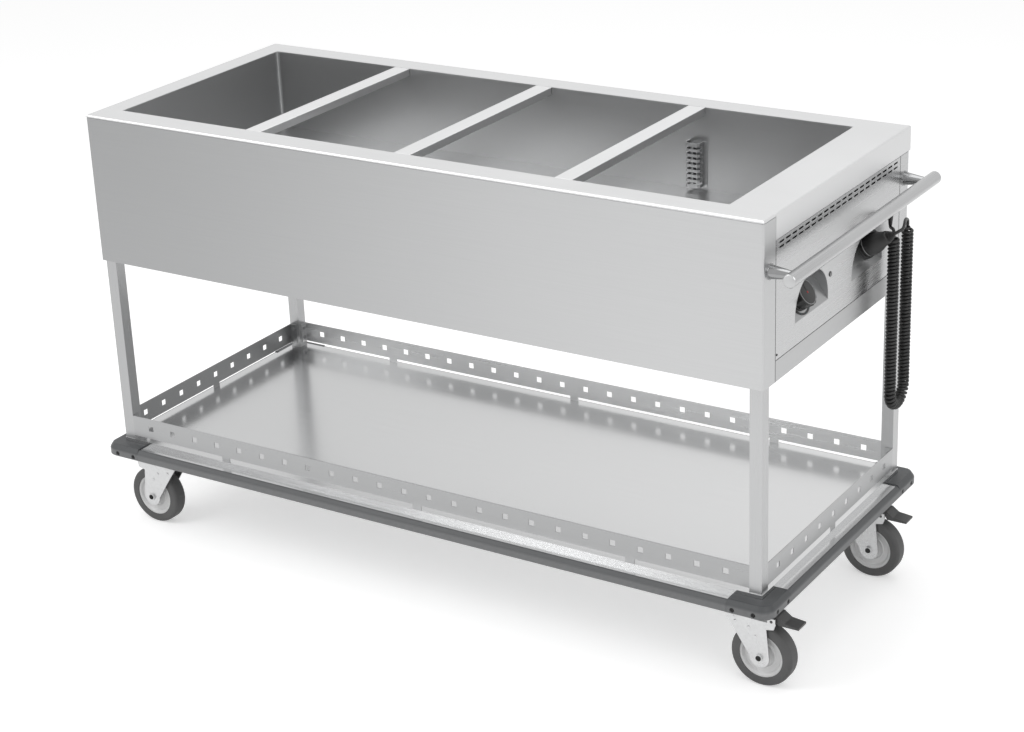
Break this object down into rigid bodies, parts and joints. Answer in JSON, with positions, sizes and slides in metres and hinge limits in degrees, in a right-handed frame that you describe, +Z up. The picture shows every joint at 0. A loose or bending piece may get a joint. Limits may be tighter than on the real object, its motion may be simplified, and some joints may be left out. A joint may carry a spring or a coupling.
{
  "type": "heated serving trolley",
  "caption": "Heated food serving trolley: long open well with lift-out divider bars, control end with knob, plug on a curly cord and push bar, lower shelf with gallery, bumper and casters.",
  "frame": {"origin": "on the floor under the middle of the whole trolley's box", "axes": "+X along the length towards the controls and the push bar, +Y to the rear, +Z up"},
  "size_m": [1.612, 0.6714, 0.927],
  "materials": {
    "worktop": "fine brushed stainless steel",
    "well_steel": "satin stainless steel",
    "panel_steel": "fine brushed stainless steel",
    "cover_steel": "plain stainless steel",
    "heater": "dark oxidised steel",
    "bar_steel": "brushed stainless steel",
    "leg_steel": "satin stainless tube",
    "shelf_steel": "glossy brushed stainless steel",
    "rail_steel": "satin stainless sheet",
    "screw_steel": "steel screw heads",
    "bumper": "matt grey bumper profile",
    "bumper_corner": "matt grey moulded corners",
    "black_screw": "black screw heads",
    "handle_steel": "polished stainless steel",
    "black_plastic": "black moulded plastic",
    "plug_black": "black moulded plug",
    "cord_black": "black rubber cord",
    "valve_brass": "plain brass",
    "lever_red": "red coated lever",
    "zinc": "zinc plated pressed steel",
    "pedal_steel": "zinc plated steel",
    "hub_grey": "light grey nylon",
    "tyre_grey": "soft dark grey rubber"
  },
  "bodies": {
    "trolley": {"top_frame": "worktop", "basin": "well_steel", "front_panel": "panel_steel", "rear_panel": "panel_steel", "left_end_panel": "panel_steel", "control_panel": "panel_steel", "bottom_cover": "cover_steel", "heating_element": "heater", "probe_guard": "well_steel", "probe": "heater", "leg_front_left": "leg_steel", "leg_front_right": "leg_steel", "leg_rear_left": "leg_steel", "leg_rear_right": "leg_steel", "shelf": "shelf_steel", "cross_beam_left": "cover_steel", "cross_beam_right": "cover_steel", "rail_front": "rail_steel", "rail_rear": "rail_steel", "rail_left": "rail_steel", "rail_right": "rail_steel", "rail_screws": "screw_steel", "bumper_front": "bumper", "bumper_rear": "bumper", "bumper_left": "bumper", "bumper_right": "bumper", "bumper_corners": "bumper_corner", "bumper_screws": "black_screw", "handle_bar": "handle_steel", "handle_posts": "handle_steel", "control_pockets": "panel_steel", "pilot_lamp": "black_plastic", "thermostat": "black_plastic", "parking_socket": "black_plastic", "plug": "plug_black", "cord_lead": "cord_black", "cord_coil": "cord_black", "cord_tail": "cord_black", "cord_gland": "black_plastic", "drain_valve": "valve_brass", "caster_plates": "zinc"},
    "swivel_front_left": {"fork_front_left": "zinc"},
    "wheel_front_left": {"hub_front_left": "hub_grey", "tyre_front_left": "tyre_grey"},
    "swivel_front_right": {"fork_front_right": "zinc"},
    "wheel_front_right": {"hub_front_right": "hub_grey", "tyre_front_right": "tyre_grey"},
    "pedal_front": {"brake_pedal_front": "pedal_steel"},
    "swivel_rear_left": {"fork_rear_left": "zinc"},
    "wheel_rear_left": {"hub_rear_left": "hub_grey", "tyre_rear_left": "tyre_grey"},
    "swivel_rear_right": {"fork_rear_right": "zinc"},
    "wheel_rear_right": {"hub_rear_right": "hub_grey", "tyre_rear_right": "tyre_grey"},
    "pedal_rear": {"brake_pedal_rear": "pedal_steel"},
    "knob": {"knob": "black_plastic"},
    "divider_1": {"divider_bar_1": "bar_steel"},
    "divider_2": {"divider_bar_2": "bar_steel"},
    "divider_3": {"divider_bar_3": "bar_steel"},
    "drain_lever": {"drain_lever": "lever_red"}
  },
  "joints": [
    {"name": "swivel_front_left", "type": "hinge", "parent": "trolley", "child": "swivel_front_left", "pos_m": [-0.71155, -0.2445, 0.15], "axis": [0, 0, 1], "continuous": true},
    {"name": "roll_front_left", "type": "hinge", "parent": "swivel_front_left", "child": "wheel_front_left", "pos_m": [-0.74755, -0.2445, 0.0625], "axis": [0, 1, 0], "continuous": true},
    {"name": "swivel_front_right", "type": "hinge", "parent": "trolley", "child": "swivel_front_right", "pos_m": [0.67645, -0.2445, 0.15], "axis": [0, 0, 1], "continuous": true},
    {"name": "roll_front_right", "type": "hinge", "parent": "swivel_front_right", "child": "wheel_front_right", "pos_m": [0.71245, -0.2445, 0.0625], "axis": [0, 1, 0], "continuous": true},
    {"name": "brake_front", "type": "hinge", "parent": "swivel_front_right", "child": "pedal_front", "pos_m": [0.73645, -0.2445, 0.143], "axis": [0, 1, 0], "range_deg": [0, 12]},
    {"name": "swivel_rear_left", "type": "hinge", "parent": "trolley", "child": "swivel_rear_left", "pos_m": [-0.71155, 0.2445, 0.15], "axis": [0, 0, 1], "continuous": true},
    {"name": "roll_rear_left", "type": "hinge", "parent": "swivel_rear_left", "child": "wheel_rear_left", "pos_m": [-0.74755, 0.2445, 0.0625], "axis": [0, 1, 0], "continuous": true},
    {"name": "swivel_rear_right", "type": "hinge", "parent": "trolley", "child": "swivel_rear_right", "pos_m": [0.67645, 0.2445, 0.15], "axis": [0, 0, 1], "continuous": true},
    {"name": "roll_rear_right", "type": "hinge", "parent": "swivel_rear_right", "child": "wheel_rear_right", "pos_m": [0.71245, 0.2445, 0.0625], "axis": [0, 1, 0], "continuous": true},
    {"name": "brake_rear", "type": "hinge", "parent": "swivel_rear_right", "child": "pedal_rear", "pos_m": [0.73645, 0.2445, 0.143], "axis": [0, 1, 0], "range_deg": [0, 12]},
    {"name": "knob_turn", "type": "hinge", "parent": "trolley", "child": "knob", "pos_m": [0.72141, -0.141, 0.73186], "axis": [0.8572, 0, 0.515], "range_deg": [-270, 0]},
    {"name": "divider_1_lift", "type": "slide", "parent": "trolley", "child": "divider_1", "axis": [0, 0, 1], "range_m": [0, 0.1]},
    {"name": "divider_2_lift", "type": "slide", "parent": "trolley", "child": "divider_2", "axis": [0, 0, 1], "range_m": [0, 0.1]},
    {"name": "divider_3_lift", "type": "slide", "parent": "trolley", "child": "divider_3", "axis": [0, 0, 1], "range_m": [0, 0.1]},
    {"name": "drain_turn", "type": "hinge", "parent": "trolley", "child": "drain_lever", "pos_m": [0.58245, 0.0265, 0.583], "axis": [0, 1, 0], "range_deg": [0, 90]}
  ]
}
